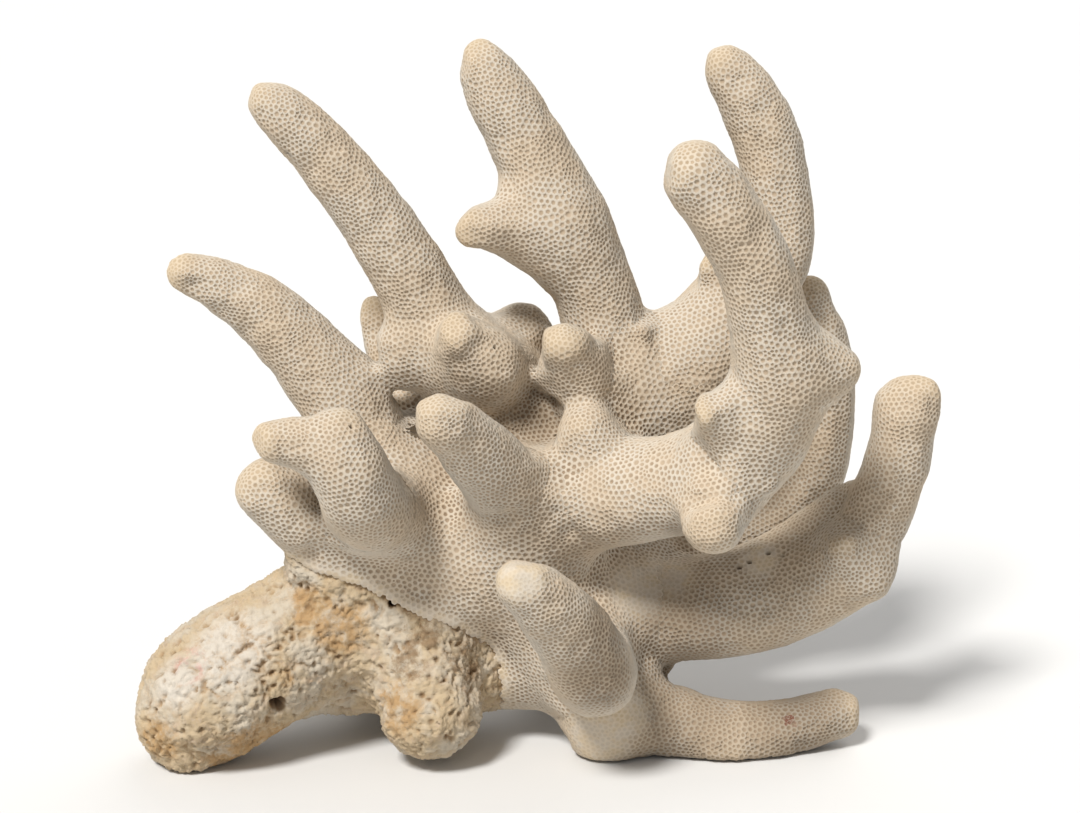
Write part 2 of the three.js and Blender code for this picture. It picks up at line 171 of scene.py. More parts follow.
skin_tree = BVHTree.FromPolygons(
    [Vector(spot) for spot in skin_spots],
    [face.vertices[:] for face in skin.polygons],
)
skin_area = sum(face.area for face in skin.polygons)
cell_count = skin_area / (HEXAGON_SHARE * CELL_SPACING**2)
net_body = bpy.data.objects.new("cell_net", skin)
bpy.context.scene.collection.objects.link(net_body)
thinning = net_body.modifiers.new("thinning", "DECIMATE")
thinning.ratio = cell_count / len(skin.polygons)
net = bpy.data.meshes.new_from_object(net_body.evaluated_get(bpy.context.evaluated_depsgraph_get()))
bpy.data.objects.remove(net_body)


def gather_short_threads(shape):
    """Closes the short threads that don't touch each other and leave the net sound."""

    def neighbours(vert):
        return {edge.other_vert(vert).index for edge in vert.link_edges}

    shape.verts.index_update()
    short = [(edge.calc_length(), n) for n, edge in enumerate(shape.edges)]
    short = sorted(item for item in short if item[0] < SHORTEST_THREAD)
    shape.edges.ensure_lookup_table()
    taken, gathered = set(), []
    for _, n in short:
        first, second = shape.edges[n].verts
        round_first, round_second = neighbours(first), neighbours(second)
        both = round_first | round_second
        if len(round_first & round_second) == 2 and len(both) <= MOST_THREADS and not taken & both:
            taken |= both
            gathered.append(shape.edges[n])
    bmesh.ops.collapse(shape, edges=gathered)


def cut_long_threads(shape):
    long = [edge for edge in shape.edges if edge.calc_length() > LONGEST_THREAD]
    bmesh.ops.subdivide_edges(shape, edges=long, cuts=1)
    bmesh.ops.triangulate(shape, faces=[face for face in shape.faces if len(face.verts) > 3])


def normals_of(mesh):
    flat = np.empty(3 * len(mesh.vertices))
    mesh.vertices.foreach_get("normal", flat)
    return flat.reshape(-1, 3)


def settle(mesh, moved):
    """Lays a net's corners on the skin, but none on a wall that faces another way."""
    settled = []
    for start, spot, normal in zip(spots_of(mesh), moved, normals_of(mesh)):
        place, facing, _, _ = skin_tree.find_nearest(Vector(spot))
        settled.append(place if facing.dot(Vector(normal)) > SAME_WALL else start)
    mesh.vertices.foreach_set("co", np.array(settled).ravel())
    mesh.update()


for _ in range(NET_ROUNDS):
    net_shape = bmesh.new()
    net_shape.from_mesh(net)
    bmesh.ops.triangulate(net_shape, faces=net_shape.faces[:])
    cut_long_threads(net_shape)
    gather_short_threads(net_shape)
    bmesh.ops.beautify_fill(
        net_shape, faces=net_shape.faces[:], edges=net_shape.edges[:], method="ANGLE"
    )
    net_shape.to_mesh(net)
    net_shape.free()
    net_spots, net_edges = spots_of(net), edges_of(net)
    for _ in range(NET_PULLS):
        net_spots += NET_PULL * (neighbour_mean(net_spots, net_edges) - net_spots)
    settle(net, net_spots)
chance = np.random.default_rng(3)
settle(net, spots_of(net) + chance.normal(0, CELL_UNEVENNESS, net_spots.shape))
net_spots = spots_of(net)

# What each cell belongs to, how far out it is on a growing tip, how deep in a crotch, and how
# near the worn stone, where the skin ends in a smooth lip.
WORN = "worn_base"
TIP_BULGE = (0.00008, 0.00020)
CROTCH_BULGE = (-0.00001, -0.00007)
LIP_SHARE = (0.02, 0.40)
SPREAD_ROUNDS = 6
BULGE_ROUNDS = 12
BULGE_PULL = 0.8


def ramp(values, start, end):
    """A smooth step from 0 at the start to 1 at the end."""
    share = np.clip((values - start) / (end - start), 0, 1)
    return share * share * (3 - 2 * share)


node_names = sorted(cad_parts)
nearest_faces = [sawn_skeleton.find_nearest(Vector(spot))[2] for spot in net_spots]
node_of_cell = np.array([node_names.index(owner_of_face[face]) for face in nearest_faces])
near_node = [
    neighbour_mean((node_of_cell == n).astype(float), net_edges) for n in range(len(node_names))
]
for _ in range(SPREAD_ROUNDS):
    near_node = [neighbour_mean(share, net_edges) for share in near_node]
node_of_cell = np.argmax(near_node, axis=0)
near_worn = near_node[node_names.index(WORN)]

net_normals = normals_of(net)
bulge = np.einsum("ij,ij->i", net_spots - neighbour_mean(net_spots, net_edges), net_normals)
for _ in range(BULGE_ROUNDS):
    bulge += BULGE_PULL * (neighbour_mean(bulge, net_edges) - bulge)
tip = ramp(bulge, *TIP_BULGE)
crotch = ramp(bulge, *CROTCH_BULGE)
lip = ramp(near_worn, *LIP_SHARE)

# Small scars: bored holes, each one deep cell with painted shade in it, rubbed places where the
# cells are nearly gone, and one red spot; and dusky places of painted shade low down between the
# arms. Each is placed by its shares of its part's box, from the left, the front and below, and a round
# place ends with its radius.
BORED_HOLES = (
    ("tall_left_finger", 0.78, 0.10, 0.30),
    ("double_knob", 0.64, 0.15, 0.91),
    ("lower_arm", 0.34, 0.44, 0.60),
    ("lower_arm", 0.40, 0.45, 0.62),
    ("lower_arm", 0.46, 0.47, 0.65),
    ("lower_arm", 0.52, 0.39, 0.65),
)
RUBBED_PLACES = (
    ("trunk", 0.87, 0.37, 0.39, 0.011),
    ("lower_arm", 0.06, 0.41, 0.56, 0.010),
    ("lower_arm", 0.43, 0.45, 0.63, 0.007),
    ("floor_finger", 0.14, 0.09, 0.28, 0.012),
    ("floor_finger", 0.22, 0.04, 0.57, 0.010),
    ("under_finger", 0.15, 0.04, 0.99, 0.010),
)
# Places of painted shade, low down between the arms.
PAINTED_SHADE_PLACES = (
    ("lower_arm", 0.10, 0.25, 0.30, 0.020),
    ("under_finger", 0.80, 0.25, 0.30, 0.017),
    ("under_finger", 0.65, 0.45, 0.55, 0.014),
    ("floor_finger", 0.42, 0.45, 0.45, 0.024),
    ("floor_finger", 0.75, 0.45, 0.40, 0.022),
    ("front_arm", 0.62, 0.30, 0.22, 0.010),
    ("trunk", 0.60, 0.42, 0.86, 0.014),
)
RED_SPOTS = (("floor_finger", 0.76, 0.28, 0.40, 0.0022),)

# One bud of new growth, a raised ring round a dimple.
GROWTH_RINGS = (("lower_arm", 0.75, 0.01, 0.78),)
RING_RADIUS = 0.0024
RING_WIDTH = 0.0009
RING_HEIGHT = 0.0009
SOFT_EDGE = 0.4

# How much of a cell's depth is lost on a growing tip, at the lip and where it is rubbed.
SHALLOW_TIP = 0.70
SHALLOW_LIP = 0.9
SHALLOW_RUBBED = 0.7


def place_on(node, across, back, up):
    """The spot at the given shares of a part's box."""
    low, high = (np.array(corner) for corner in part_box(node))
    return low + np.array((across, back, up)) * (high - low)


def soft_spots(spots, places):
    """How much each spot lies in one of some round places, from 0 to 1."""
    amount = np.zeros(len(spots))
    for node, across, back, up, radius in places:
        far = np.linalg.norm(spots - place_on(node, across, back, up), axis=1)
        amount = np.maximum(amount, 1 - ramp(far, SOFT_EDGE * radius, radius))
    return amount


for place in GROWTH_RINGS:
    far = np.linalg.norm(net_spots - place_on(*place), axis=1)
    ring = RING_HEIGHT * np.exp(-(((far - RING_RADIUS) / RING_WIDTH) ** 2))
    net_spots += net_normals * ring[:, None]
net.vertices.foreach_set("co", net_spots.ravel())
net.update()
rubbed = soft_spots(net_spots, RUBBED_PLACES)
red = soft_spots(net_spots, RED_SPOTS)
painted_shade = soft_spots(net_spots, PAINTED_SHADE_PLACES)
bore = np.zeros(len(net_spots))
for place in BORED_HOLES:
    bore[np.argmin(np.linalg.norm(net_spots - place_on(*place), axis=1))] = 1
relief = (1 - SHALLOW_TIP * tip) * (1 - SHALLOW_LIP * lip) * (1 - SHALLOW_RUBBED * rubbed)


def store(mesh, name, values, domain="POINT"):
    """Keeps one value for each corner, or for each face, under a name on the mesh."""
    kind = "INT" if values.dtype.kind == "i" else "FLOAT"
    layer = mesh.attributes.new(name, kind, domain)
    layer.data.foreach_set("value", values.astype(np.int32 if kind == "INT" else np.float32))


cell_marks = {
    "node": node_of_cell,
    "tip": tip,
    "crotch": crotch,
    "lip": lip,
    "rubbed": rubbed,
    "red": red,
    "painted_shade": painted_shade,
    "bore": bore,
    "relief": relief,
}
for name, values in cell_marks.items():
    store(net, name, values)


class Wiring:
    """Short ways to wire any tree of nodes."""

    def __init__(self, tree):
        self.tree = tree
        self.link = tree.links.new

    def add(self, kind, **settings):
        node = self.tree.nodes.new(kind)
        for key, value in settings.items():
            setattr(node, key, value)
        return node

    def maths(self, operation, *values):
        node = self.add("ShaderNodeMath", operation=operation)
        for socket, value in zip(node.inputs, values):
            if isinstance(value, float):
                socket.default_value = value
            else:
                self.link(value, socket)
        return node.outputs[0]

    def spread(self, value, start, end, low=0.0, high=1.0):
        """A smooth step of a value, from low at the start to high at the end."""
        node = self.add("ShaderNodeMapRange", interpolation_type="SMOOTHSTEP")
        self.link(value, node.inputs["Value"])
        for name, number in (("From Min", start), ("From Max", end), ("To Min", low), ("To Max", high)):
            node.inputs[name].default_value = number
        return node.outputs["Result"]


class Growth(Wiring):
    """A geometry tree from a shape and some named measures to a finished shape."""

    def __init__(self, name, measures, seed=None):
        super().__init__(bpy.data.node_groups.new(name, "GeometryNodeTree"))
        self.tree.is_modifier = True
        self.socket("Shape", "Geometry")
        for measure, value in measures.items():
            self.socket(measure, "Float").default_value = value
        if seed is not None:
            self.socket("Seed", "Int").default_value = seed
        self.socket("Finish", "Material")
        self.socket("Grown", "Geometry", "OUTPUT")
        self.given = self.add("NodeGroupInput").outputs

    def socket(self, name, kind, in_out="INPUT"):
        return self.tree.interface.new_socket(name, in_out=in_out, socket_type="NodeSocket" + kind)

    def mark(self, name):
        node = self.add("GeometryNodeInputNamedAttribute", data_type="FLOAT")
        node.inputs["Name"].default_value = name
        return node.outputs["Attribute"]

    def keep(self, shape, name, value, domain="POINT"):
        node = self.add("GeometryNodeStoreNamedAttribute", data_type="FLOAT", domain=domain)
        node.inputs["Name"].default_value = name
        self.link(shape, node.inputs["Geometry"])
        self.link(value, node.inputs["Value"])
        return node.outputs["Geometry"]

    def push(self, shape, distance, chosen=None):
        """Moves a shape, or a chosen part of it, along its own normals."""
        offset = self.add("ShaderNodeVectorMath", operation="SCALE")
        self.link(self.add("GeometryNodeInputNormal").outputs["Normal"], offset.inputs[0])
        self.link(distance, offset.inputs["Scale"])
        node = self.add("GeometryNodeSetPosition")
        self.link(shape, node.inputs["Geometry"])
        self.link(offset.outputs[0], node.inputs["Offset"])
        if chosen is not None:
            self.link(chosen, node.inputs["Selection"])
        return node.outputs["Geometry"]

    def finish(self, shape):
        real = self.add("GeometryNodeRealizeInstances")
        self.link(shape, real.inputs["Geometry"])
        coat = self.add("GeometryNodeSetMaterial")
        self.link(real.outputs["Geometry"], coat.inputs["Geometry"])
        self.link(self.given["Finish"], coat.inputs["Material"])
        self.link(coat.outputs["Geometry"], self.add("NodeGroupOutput").inputs["Grown"])
        return self.tree


# Each corner of the net becomes a cell: a rim round it, and a floor sunk below the rim.
def cup_tree():
    measures = {
        "Floor share": 0.42,
        "Depth": 0.00042,
        "Bore depth": 0.0022,
        "Uneven": 0.45,
        "Rim height": 0.00030,
        "Rim waves a metre": 900.0,
    }
    growth = Growth("cell_cups", measures, seed=7)
    add, link, maths, mark, given = growth.add, growth.link, growth.maths, growth.mark, growth.given
    cells = add("GeometryNodeDualMesh")
    link(given["Shape"], cells.inputs["Mesh"])

    # The rims rise and fall a little.
    waves = add("ShaderNodeTexNoise")
    link(given["Rim waves a metre"], waves.inputs["Scale"])
    waves.inputs["Detail"].default_value = 1
    lift = maths("MULTIPLY", maths("SUBTRACT", waves.outputs["Fac"], 0.5), given["Rim height"])
    rims = growth.push(cells.outputs["Dual Mesh"], maths("MULTIPLY", lift, mark("relief")))

    # Each cell has its own tone and its own width of floor.
    chance = add("FunctionNodeRandomValue", data_type="FLOAT")
    link(given["Seed"], chance.inputs["Seed"])
    toned = growth.keep(rims, "tone", chance.outputs[1], "FACE")
    raised = add("GeometryNodeExtrudeMesh", mode="FACES")
    raised.inputs["Individual"].default_value = True
    raised.inputs["Offset Scale"].default_value = 0
    link(toned, raised.inputs["Mesh"])
    spread = maths("MULTIPLY_ADD", maths("SUBTRACT", mark("tone"), 0.5), given["Uneven"], 1.0)
    share = maths("MULTIPLY", given["Floor share"], spread)
    floors = add("GeometryNodeScaleElements", domain="FACE")
    link(raised.outputs["Mesh"], floors.inputs["Geometry"])
    link(raised.outputs["Top"], floors.inputs["Selection"])
    link(share, floors.inputs["Scale"])

    # The floors sink.
    depth = maths("MULTIPLY", maths("MULTIPLY", given["Depth"], mark("relief")), spread)
    deepest = maths("MAXIMUM", depth, maths("MULTIPLY", given["Bore depth"], mark("bore")))
    top = raised.outputs["Top"]
    sunk = growth.push(floors.outputs["Geometry"], maths("MULTIPLY", deepest, -1.0), chosen=top)
    return growth.finish(growth.keep(sunk, "cup", top))


def grown(name, mesh, tree, finish):
    """The mesh that a node tree makes of another mesh."""
    body = bpy.data.objects.new(name, mesh)
    bpy.context.scene.collection.objects.link(body)
    growth = body.modifiers.new(name, "NODES")
    growth.node_group = tree
    for socket in tree.interface.items_tree:
        if socket.name == "Finish":
            growth[socket.identifier] = finish
    grown_mesh = bpy.data.meshes.new_from_object(
        body.evaluated_get(bpy.context.evaluated_depsgraph_get())
    )
    bpy.data.objects.remove(body)
    return grown_mesh


live_stone = bpy.data.materials.new("live_stone")
live_stone.use_nodes = True
cupped = grown("cupped_skin", net, cup_tree(), live_stone)

# ---------------------------------------------------------------------------------------
# The live parts: one piece for each sawn part, cut out of the cupped skin along the rims of
# its cells. Each is closed inside by a wall that goes straight in and then to a point.
# ---------------------------------------------------------------------------------------
WALL_DEPTH = 0.0016
WALL_SHARE = 0.35
WALL_CLEARANCE = 0.0002
HEART_DEPTH = 0.002
HEART_SHARE = 0.2
HEART_REACH = 0.25
MARKS_KEPT = ("tip", "crotch", "lip", "rubbed", "red", "painted_shade", "bore", "tone")


def marks_of(mesh, name):
    layer = mesh.attributes[name]
    values = np.empty(len(layer.data), dtype=np.int32 if layer.data_type == "INT" else np.float32)
    layer.data.foreach_get("value", values)
    return values


def faces_of(mesh):
    corners = np.empty(len(mesh.loops), dtype=np.int32)
    mesh.loops.foreach_get("vertex_index", corners)
    starts = np.empty(len(mesh.polygons), dtype=np.int32)
    mesh.polygons.foreach_get("loop_start", starts)
    return [face.tolist() for face in np.split(corners, starts[1:])]


def sunk_in(spot):
    """The spot under a rim's corner, no deeper than the stone there allows."""
    outward = skin_tree.find_nearest(Vector(spot))[1]
    thickness = skin_tree.ray_cast(Vector(spot) - outward * WALL_CLEARANCE, -outward)[3]
    depth = min(WALL_DEPTH, WALL_SHARE * (thickness or 0))
    return spot - depth * np.array(outward)


def cut_out(name, spots, faces, point_marks, face_marks, finish):
    """A closed piece from some faces of a skin, with its marks for the material."""
    kept = sorted({corner for face in faces for corner in face})
    place = {corner: n for n, corner in enumerate(kept)}
    own_spots = [spots[corner] for corner in kept]
    own_faces = [[place[corner] for corner in face] for face in faces]
    sides = {(face[n - 1], face[n]) for face in own_faces for n in range(len(face))}
    following = {end: start for start, end in sides if (end, start) not in sides}
    middle = np.mean(own_spots, axis=0)
    skin_faces = len(own_faces)
    while following:
        rim = [next(iter(following))]
        while following.get(rim[-1], rim[0]) != rim[0]:
            rim.append(following[rim[-1]])
        for corner in rim:
            following.pop(corner, None)
        deep = len(own_spots)
        for corner in rim:
            own_spots.append(sunk_in(own_spots[corner]))
        heart = np.mean(own_spots[deep:], axis=0)
        inward = middle - heart
        width = np.mean(np.linalg.norm(np.array(own_spots[deep:]) - heart, axis=1))
        depth = min(HEART_DEPTH, HEART_SHARE * width)
        own_spots.append(heart + inward * min(HEART_REACH, depth / np.linalg.norm(inward)))
        for n in range(len(rim)):
            before = deep + (n - 1) % len(rim)
            own_faces.append([rim[n - 1], rim[n], deep + n, before])
            own_faces.append([before, deep + n, deep + len(rim)])
    mesh = bpy.data.meshes.new(name)
    mesh.from_pydata(own_spots, [], own_faces)
    mesh.shade_smooth()
    for key, values in point_marks.items():
        unmarked = np.zeros(len(own_spots) - len(kept))
        store(mesh, key, np.concatenate([values[kept], unmarked]))
    for key, values in face_marks.items():
        unmarked = np.zeros(len(own_faces) - skin_faces)
        store(mesh, key, np.concatenate([values, unmarked]), "FACE")
    mesh.materials.append(finish)
    mesh.validate()
    piece = bpy.data.objects.new(name, mesh)
    bpy.context.scene.collection.objects.link(piece)
    return piece


cup_spots = np.clip(spots_of(cupped), cad_low, cad_high)
cup_faces = faces_of(cupped)
cup_share, node_of_face = marks_of(cupped, "cup"), marks_of(cupped, "node")
finish_marks = {name: marks_of(cupped, name) for name in MARKS_KEPT}
for n, name in enumerate(node_names):
    if name == WORN:
        continue
    own = np.flatnonzero(node_of_face == n)
    piece = cut_out(
        name + "_skin",
        cup_spots,
        [cup_faces[face] for face in own],
        {"cup": cup_share},
        {key: values[own] for key, values in finish_marks.items()},
        live_stone,
    )
    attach(piece, "root")
    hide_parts(name)


# The stone of the colony is dull, blotched in large soft patches, and gritty close to.
STONE_SHEEN = 0.25


def stone_group():
    tree = bpy.data.node_groups.new("stone_blotches", "ShaderNodeTree")
    for name, value in (("Blotch size", 0.016), ("Grit size", 0.0005), ("Offset", 0.0)):
        socket = tree.interface.new_socket(name, in_out="INPUT", socket_type="NodeSocketFloat")
        socket.default_value = value
    for name in ("Blotch", "Patch", "Grit"):
        tree.interface.new_socket(name, in_out="OUTPUT", socket_type="NodeSocketFloat")
    wiring = Wiring(tree)
    given, made = wiring.add("NodeGroupInput").outputs, wiring.add("NodeGroupOutput").inputs
    shift = wiring.add("ShaderNodeVectorMath", operation="ADD")
    wiring.link(wiring.add("ShaderNodeTexCoord").outputs["Object"], shift.inputs[0])
    wiring.link(given["Offset"], shift.inputs[1])

    def noise(size, detail, roughness, times):
        texture = wiring.add("ShaderNodeTexNoise")
        texture.inputs["Detail"].default_value = detail
        texture.inputs["Roughness"].default_value = roughness
        wiring.link(shift.outputs[0], texture.inputs["Vector"])
        wiring.link(wiring.maths("DIVIDE", times, size), texture.inputs["Scale"])
        return texture.outputs["Fac"]

    wiring.link(noise(given["Blotch size"], 4, 0.6, 1.0), made["Blotch"])
    wiring.link(noise(given["Blotch size"], 5, 0.7, 3.1), made["Patch"])
    wiring.link(noise(given["Grit size"], 2, 0.6, 1.0), made["Grit"])
    return tree


stone_blotches = stone_group()


class Paint(Wiring):
    """Short ways to wire a stone's colours."""

    def __init__(self, material, roughness):
        super().__init__(material.node_tree)
        self.shader = self.tree.nodes["Principled BSDF"]
        self.shader.inputs["Roughness"].default_value = roughness
        self.shader.inputs["Specular IOR Level"].default_value = STONE_SHEEN

    def mark(self, name):
        return self.add("ShaderNodeAttribute", attribute_name=name).outputs["Fac"]

    def part_mark(self, name, share):
        """A mark that shows only in part, however full it is."""
        return self.maths("MULTIPLY", self.mark(name), share)

    def blotches(self, **values):
        node = self.add("ShaderNodeGroup", node_tree=stone_blotches)
        for name, value in values.items():
            node.inputs[name.replace("_", " ").capitalize()].default_value = value
        return node.outputs

    def mix(self, share, first, second):
        """Two colours mixed. A mix node has sockets for numbers and vectors before these."""
        node = self.add("ShaderNodeMix", data_type="RGBA")
        self.link(share, node.inputs["Factor"])
        for socket, colour in ((node.inputs[6], first), (node.inputs[7], second)):
            if isinstance(colour, tuple):
                socket.default_value = (*colour, 1)
            else:
                self.link(colour, socket)
        return node.outputs[2]

    def finish(self, colour, height, distance):
        bump = self.add("ShaderNodeBump")
        bump.inputs["Strength"].default_value = 1
        bump.inputs["Distance"].default_value = distance
        self.link(height, bump.inputs["Height"])
        self.link(bump.outputs["Normal"], self.shader.inputs["Normal"])
        self.link(colour, self.shader.inputs["Base Color"])


# The live stone: cream rims round cell floors painted brown as shade, yellower and smoother on the
# tips, with deeper painted shade in the crotches, pale where it is rubbed.
CREAM, WARM_CREAM, PALE_CREAM = (0.60, 0.535, 0.445), (0.60, 0.50, 0.38), (0.65, 0.59, 0.50)
SHADED_FLOOR_DARK, SHADED_FLOOR_PALE, SHADED_CROTCH_FLOOR = (0.33, 0.25, 0.17), (0.47, 0.375, 0.275), (0.20, 0.135, 0.08)
SHADED_TIP_FLOOR, TIP_RIM = (0.50, 0.39, 0.26), (0.60, 0.48, 0.33)
BARE_STONE, WARM_BARE_STONE = (0.60, 0.54, 0.455), (0.60, 0.49, 0.34)
DUSK_SHADE, RED_BROWN, BORE_SHADE = (0.16, 0.11, 0.065), (0.20, 0.075, 0.05), (0.05, 0.03, 0.02)
LIVE_GRIT = 0.00012

paint = Paint(live_stone, roughness=0.88)
blotches = paint.blotches(blotch_size=0.018)
floor_share = paint.spread(paint.mark("cup"), 0.25, 1.0)
rim = paint.mix(paint.spread(blotches["Blotch"], 0.40, 0.62), CREAM, WARM_CREAM)
rim = paint.mix(paint.spread(blotches["Patch"], 0.5, 0.75), rim, PALE_CREAM)
# The cell floors are painted darker than the rims as shade in the cups, each by its own random tone.
pit = paint.mix(paint.mark("tone"), SHADED_FLOOR_DARK, SHADED_FLOOR_PALE)
# Painted shade, deeper in the crotches.
pit = paint.mix(paint.part_mark("crotch", 0.7), pit, SHADED_CROTCH_FLOOR)
pit = paint.mix(paint.mark("tip"), pit, SHADED_TIP_FLOOR)
rim = paint.mix(paint.part_mark("tip", 0.8), rim, TIP_RIM)
# Painted shade: the floors of the cups take the darker colour.
colour = paint.mix(floor_share, rim, pit)
smooth = paint.maths("MAXIMUM", paint.mark("lip"), paint.mark("rubbed"))
bare = paint.mix(paint.spread(blotches["Patch"], 0.40, 0.62), BARE_STONE, WARM_BARE_STONE)
colour = paint.mix(paint.maths("MULTIPLY", smooth, 0.7), colour, bare)
# Painted shade in the dusky places low down between the arms.
colour = paint.mix(paint.part_mark("painted_shade", 0.46), colour, DUSK_SHADE)
red_share = paint.maths("MULTIPLY", paint.mark("red"), paint.spread(blotches["Grit"], 0.35, 0.6))
colour = paint.mix(red_share, colour, RED_BROWN)
# Painted shade: the floors of the bored holes are near black.
colour = paint.mix(paint.maths("MULTIPLY", paint.mark("bore"), floor_share), colour, BORE_SHADE)
paint.finish(colour, blotches["Grit"], LIVE_GRIT)

# ---------------------------------------------------------------------------------------
# The worn base: the oldest limestone, long dead, bored and crusted over, cream with ochre
# stains. It starts a little below the lip of the live skin, which has grown down over it.
# ---------------------------------------------------------------------------------------
WORN_VOXEL = 0.0005
WORN_SPREAD = 14
WORN_EDGE = 0.06
WORN_PULLS = 4
WORN_PULL = 0.5
LIP_SINK = 0.0011
LIP_RUN = (0.42, 0.90)
BURIED_DEPTH = 0.0008

# Its stains and hollows, placed as the marks of the cells are, on the worn base's box.
OCHRE_STAINS = (
    (0.32, 0.14, 0.08, 0.016),
    (0.57, 0.16, 0.64, 0.010),
    (0.49, 0.17, 0.73, 0.008),
    (0.73, 0.08, 0.30, 0.009),
    (0.08, 0.07, 0.17, 0.008),
    (0.42, 0.10, 0.44, 0.004),
    (0.86, 0.20, 0.36, 0.006),
)
BROWN_PLACES = (
    (0.80, 0.17, 0.63, 0.009),
    (0.90, 0.20, 0.46, 0.009),
    (0.75, 0.10, 0.50, 0.007),
    (0.10, 0.30, 0.12, 0.010),
)
PINK_STAINS = ((0.17, 0.07, 0.50, 0.006),)
WHITE_PATCHES = ((0.28, 0.08, 0.57, 0.014), (0.15, 0.07, 0.42, 0.009))
HOLLOWS = (
    (0.370, 0.08, 0.350, 0.0013),
    (0.388, 0.08, 0.342, 0.0017),
    (0.405, 0.08, 0.325, 0.0023),
    (0.415, 0.09, 0.290, 0.0014),
    (0.710, 0.18, 0.730, 0.0011),
)

nearest = [sawn_skeleton.find_nearest(Vector(spot))[2] for spot in skin_spots]
worn_reach = np.array([owner_of_face[face] == WORN for face in nearest]).astype(float)
for _ in range(WORN_SPREAD):
    worn_reach = neighbour_mean(worn_reach, skin_edges)
skin_faces = faces_of(skin)
worn_faces = [face for face in skin_faces if worn_reach[face].max() > WORN_EDGE]
worn_stone = bpy.data.materials.new("worn_stone")
worn_stone.use_nodes = True
worn_core = cut_out("worn_core", skin_spots, worn_faces, {}, {}, worn_stone)
closing = worn_core.modifiers.new("closing", "REMESH")
closing.mode = "VOXEL"
closing.voxel_size = WORN_VOXEL
worn = bpy.data.meshes.new_from_object(
    worn_core.evaluated_get(bpy.context.evaluated_depsgraph_get())
)
bpy.data.objects.remove(worn_core)
worn_spots, worn_edges = spots_of(worn), edges_of(worn)
for _ in range(WORN_PULLS):
    worn_spots += WORN_PULL * (neighbour_mean(worn_spots, worn_edges) - worn_spots)
worn.vertices.foreach_set("co", worn_spots.ravel())
worn.update()

found = [skin_tree.find_nearest(Vector(spot)) for spot in worn_spots]
reach = np.array([worn_reach[skin_faces[hit[2]]].mean() for hit in found])
buried = np.array([hit[3] for hit in found]) > BURIED_DEPTH
sink = LIP_SINK * (1 - ramp(reach, *LIP_RUN))


def on_base(places):
    return soft_spots(worn_spots, [(WORN, *place) for place in places])


base_marks = {
    "sink": np.where(buried, LIP_SINK, sink),
    "ochre": on_base(OCHRE_STAINS),
    "brown": on_base(BROWN_PLACES),
    "pink": on_base(PINK_STAINS),
    "white": on_base(WHITE_PATCHES),
    "hollow": on_base(HOLLOWS),
}
for name, values in base_marks.items():
    store(worn, name, values)


# Erosion left it lumpy, folded into low crusts, grainy and pitted by small bubbles.
def crust_tree():
    measures = {
        "Lump height": 0.0030,
        "Lumps a metre": 110.0,
        "Crust height": 0.0080,
        "Crusts a metre": 260.0,
        "Crust width": 0.09,
        "Grain height": 0.0005,
        "Grains a metre": 900.0,
        "Pit depth": 0.0008,
        "Pits a metre": 330.0,
        "Pitted patches a metre": 150.0,
        "Hollow depth": 0.0048,
    }
    growth = Growth("worn_crust", measures)
    maths, mark, given = growth.maths, growth.mark, growth.given

    def noise(name, detail, warp=0.0):
        node = growth.add("ShaderNodeTexNoise")
        growth.link(given[name], node.inputs["Scale"])
        node.inputs["Detail"].default_value = detail
        node.inputs["Roughness"].default_value = 0.65
        node.inputs["Distortion"].default_value = warp
        return node.outputs["Fac"]

    lumps = maths("SUBTRACT", noise("Lumps a metre", 2), 0.5)
    lumps = maths("MULTIPLY", lumps, given["Lump height"])
    folded = maths("ABSOLUTE", maths("SUBTRACT", noise("Crusts a metre", 4, 0.6), 0.5))
    crust = maths("SUBTRACT", given["Crust width"], folded)
    crust = maths("MULTIPLY", crust, given["Crust height"])
    grain = maths("SUBTRACT", noise("Grains a metre", 3), 0.5)
    grain = maths("MULTIPLY", grain, given["Grain height"])
    bubbles = growth.add("ShaderNodeTexVoronoi")
    growth.link(given["Pits a metre"], bubbles.inputs["Scale"])
    near_pit = growth.spread(bubbles.outputs["Distance"], 0.14, 0.34, 1.0, 0.0)
    pitted = maths("GREATER_THAN", noise("Pitted patches a metre", 1), 0.52)
    pit = maths("MULTIPLY", near_pit, pitted)
    height = maths("ADD", maths("ADD", lumps, crust), grain)
    height = maths("SUBTRACT", height, maths("MULTIPLY", pit, given["Pit depth"]))
    height = maths("SUBTRACT", height, mark("sink"))
    dent = maths("MULTIPLY", mark("hollow"), given["Hollow depth"])
    height = maths("SUBTRACT", height, dent)
    shape = growth.keep(given["Shape"], "height", height)
    shape = growth.keep(shape, "pit", pit)
    return growth.finish(growth.push(shape, height))


crusted = grown("crusted_base", worn, crust_tree(), worn_stone)
crust_spots = np.clip(spots_of(crusted), cad_low, cad_high)
crusted.vertices.foreach_set("co", crust_spots.ravel())
crusted.update()
crusted.shade_smooth()
base_piece = bpy.data.objects.new(WORN + "_crust", crusted)
bpy.context.scene.collection.objects.link(base_piece)
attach(base_piece, "root")
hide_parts(WORN)

# The worn stone's finish: cream and chalky white, stained ochre, with painted shade in its pits, folds
# and hollows.
AGED_CREAM, HONEY, CHALK_WHITE = (0.53, 0.465, 0.37), (0.50, 0.395, 0.26), (0.60, 0.55, 0.48)
OCHRE, BROWN, FOLD_SHADE_BROWN = (0.42, 0.26, 0.115), (0.22, 0.14, 0.07), (0.32, 0.20, 0.095)
PIT_SHADE_BROWN, PINK, HOLLOW_SHADE = (0.20, 0.12, 0.055), (0.62, 0.33, 0.33), (0.08, 0.04, 0.02)
WORN_GRIT = 0.00022

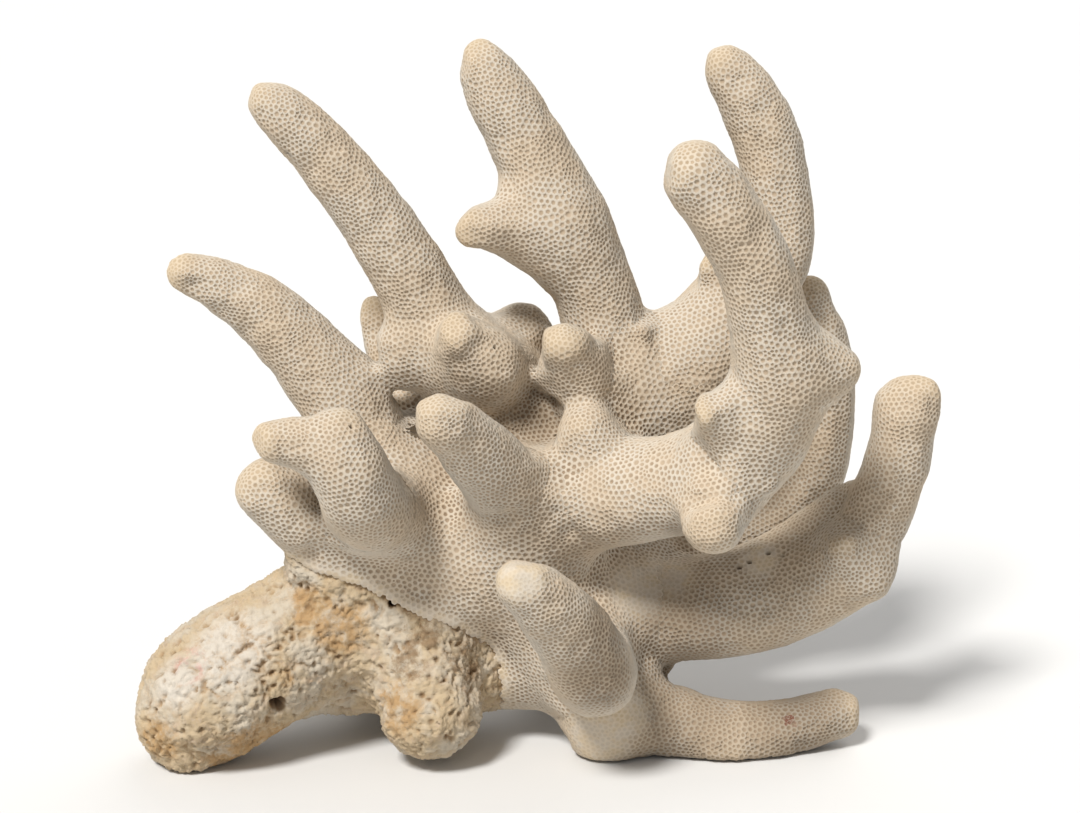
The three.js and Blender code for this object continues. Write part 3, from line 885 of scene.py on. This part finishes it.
paint = Paint(worn_stone, roughness=0.93)
blotches = paint.blotches(blotch_size=0.012, offset=0.37)
colour = paint.mix(paint.spread(blotches["Blotch"], 0.38, 0.60), AGED_CREAM, HONEY)
chalk = paint.maths("MAXIMUM", paint.mark("white"), paint.spread(blotches["Patch"], 0.54, 0.68))
colour = paint.mix(paint.maths("MULTIPLY", chalk, 0.85), colour, CHALK_WHITE)
stained = paint.maths("ADD", paint.part_mark("ochre", 0.22), blotches["Patch"])
colour = paint.mix(paint.spread(stained, 0.46, 0.82, 0.0, 0.9), colour, OCHRE)
stained = paint.maths("ADD", paint.part_mark("brown", 0.3), blotches["Patch"])
colour = paint.mix(paint.spread(stained, 0.62, 0.92, 0.0, 0.8), colour, BROWN)
# Painted shade where the crust lies low: in its folds and under the lip of the live skin.
fold_shade = paint.spread(paint.mark("height"), 0.0001, -0.0010)
colour = paint.mix(paint.maths("MULTIPLY", fold_shade, 0.7), colour, FOLD_SHADE_BROWN)
# Painted shade in the pits of the small bubbles.
colour = paint.mix(paint.part_mark("pit", 0.6), colour, PIT_SHADE_BROWN)
pink = paint.maths("MULTIPLY", paint.mark("pink"), paint.spread(blotches["Patch"], 0.45, 0.6))
colour = paint.mix(paint.maths("MULTIPLY", pink, 0.45), colour, PINK)
# Painted shade: the hollows are near black inside.
colour = paint.mix(paint.mark("hollow"), colour, HOLLOW_SHADE)
paint.finish(colour, blotches["Grit"], WORN_GRIT)

# ---------------------------------------------------------------------------------------
# The studio: a pale matt floor a hair below the colony's feet, an even white sky, a key light
# from the upper left in front, and a soft wide light from behind on the right.
# ---------------------------------------------------------------------------------------
FLOOR_REACH = 3
FLOOR_GAP = 0.0005

floor_corners = [(x * FLOOR_REACH, y * FLOOR_REACH, 0) for x, y in ((-1, -1), (1, -1), (1, 1), (-1, 1))]
floor = bpy.data.meshes.new("floor")
floor.from_pydata(floor_corners, [], [(0, 1, 2, 3)])
floor_body = bpy.data.objects.new("floor", floor)
floor_body.location.z = cad_low.z - FLOOR_GAP
bpy.context.scene.collection.objects.link(floor_body)
pale = bpy.data.materials.new("pale_floor")
pale.use_nodes = True
pale_shader = pale.node_tree.nodes["Principled BSDF"]
pale_shader.inputs["Base Color"].default_value = (0.72, 0.72, 0.715, 1)
pale_shader.inputs["Roughness"].default_value = 0.9
floor.materials.append(pale)

world = bpy.data.worlds.new("studio")
world.use_nodes = True
sky = world.node_tree.nodes["Background"]
sky.inputs["Color"].default_value = (1, 1, 1, 1)
sky.inputs["Strength"].default_value = 0.38
bpy.context.scene.world = world
for name, strength, spread, travel in (
    ("key_light", 3.6, 14, (0.33, 0.53, -0.78)),
    ("back_light", 0.9, 60, (-0.35, -0.65, -0.68)),
):
    lamp = bpy.data.lights.new(name, "SUN")
    lamp.energy = strength
    lamp.angle = math.radians(spread)
    lamp.color = (1, 0.98, 0.95)
    lamp_body = bpy.data.objects.new(name, lamp)
    lamp_body.rotation_euler = Vector(travel).to_track_quat("-Z", "Y").to_euler()
    bpy.context.scene.collection.objects.link(lamp_body)
bpy.context.scene.view_settings.view_transform = "Standard"
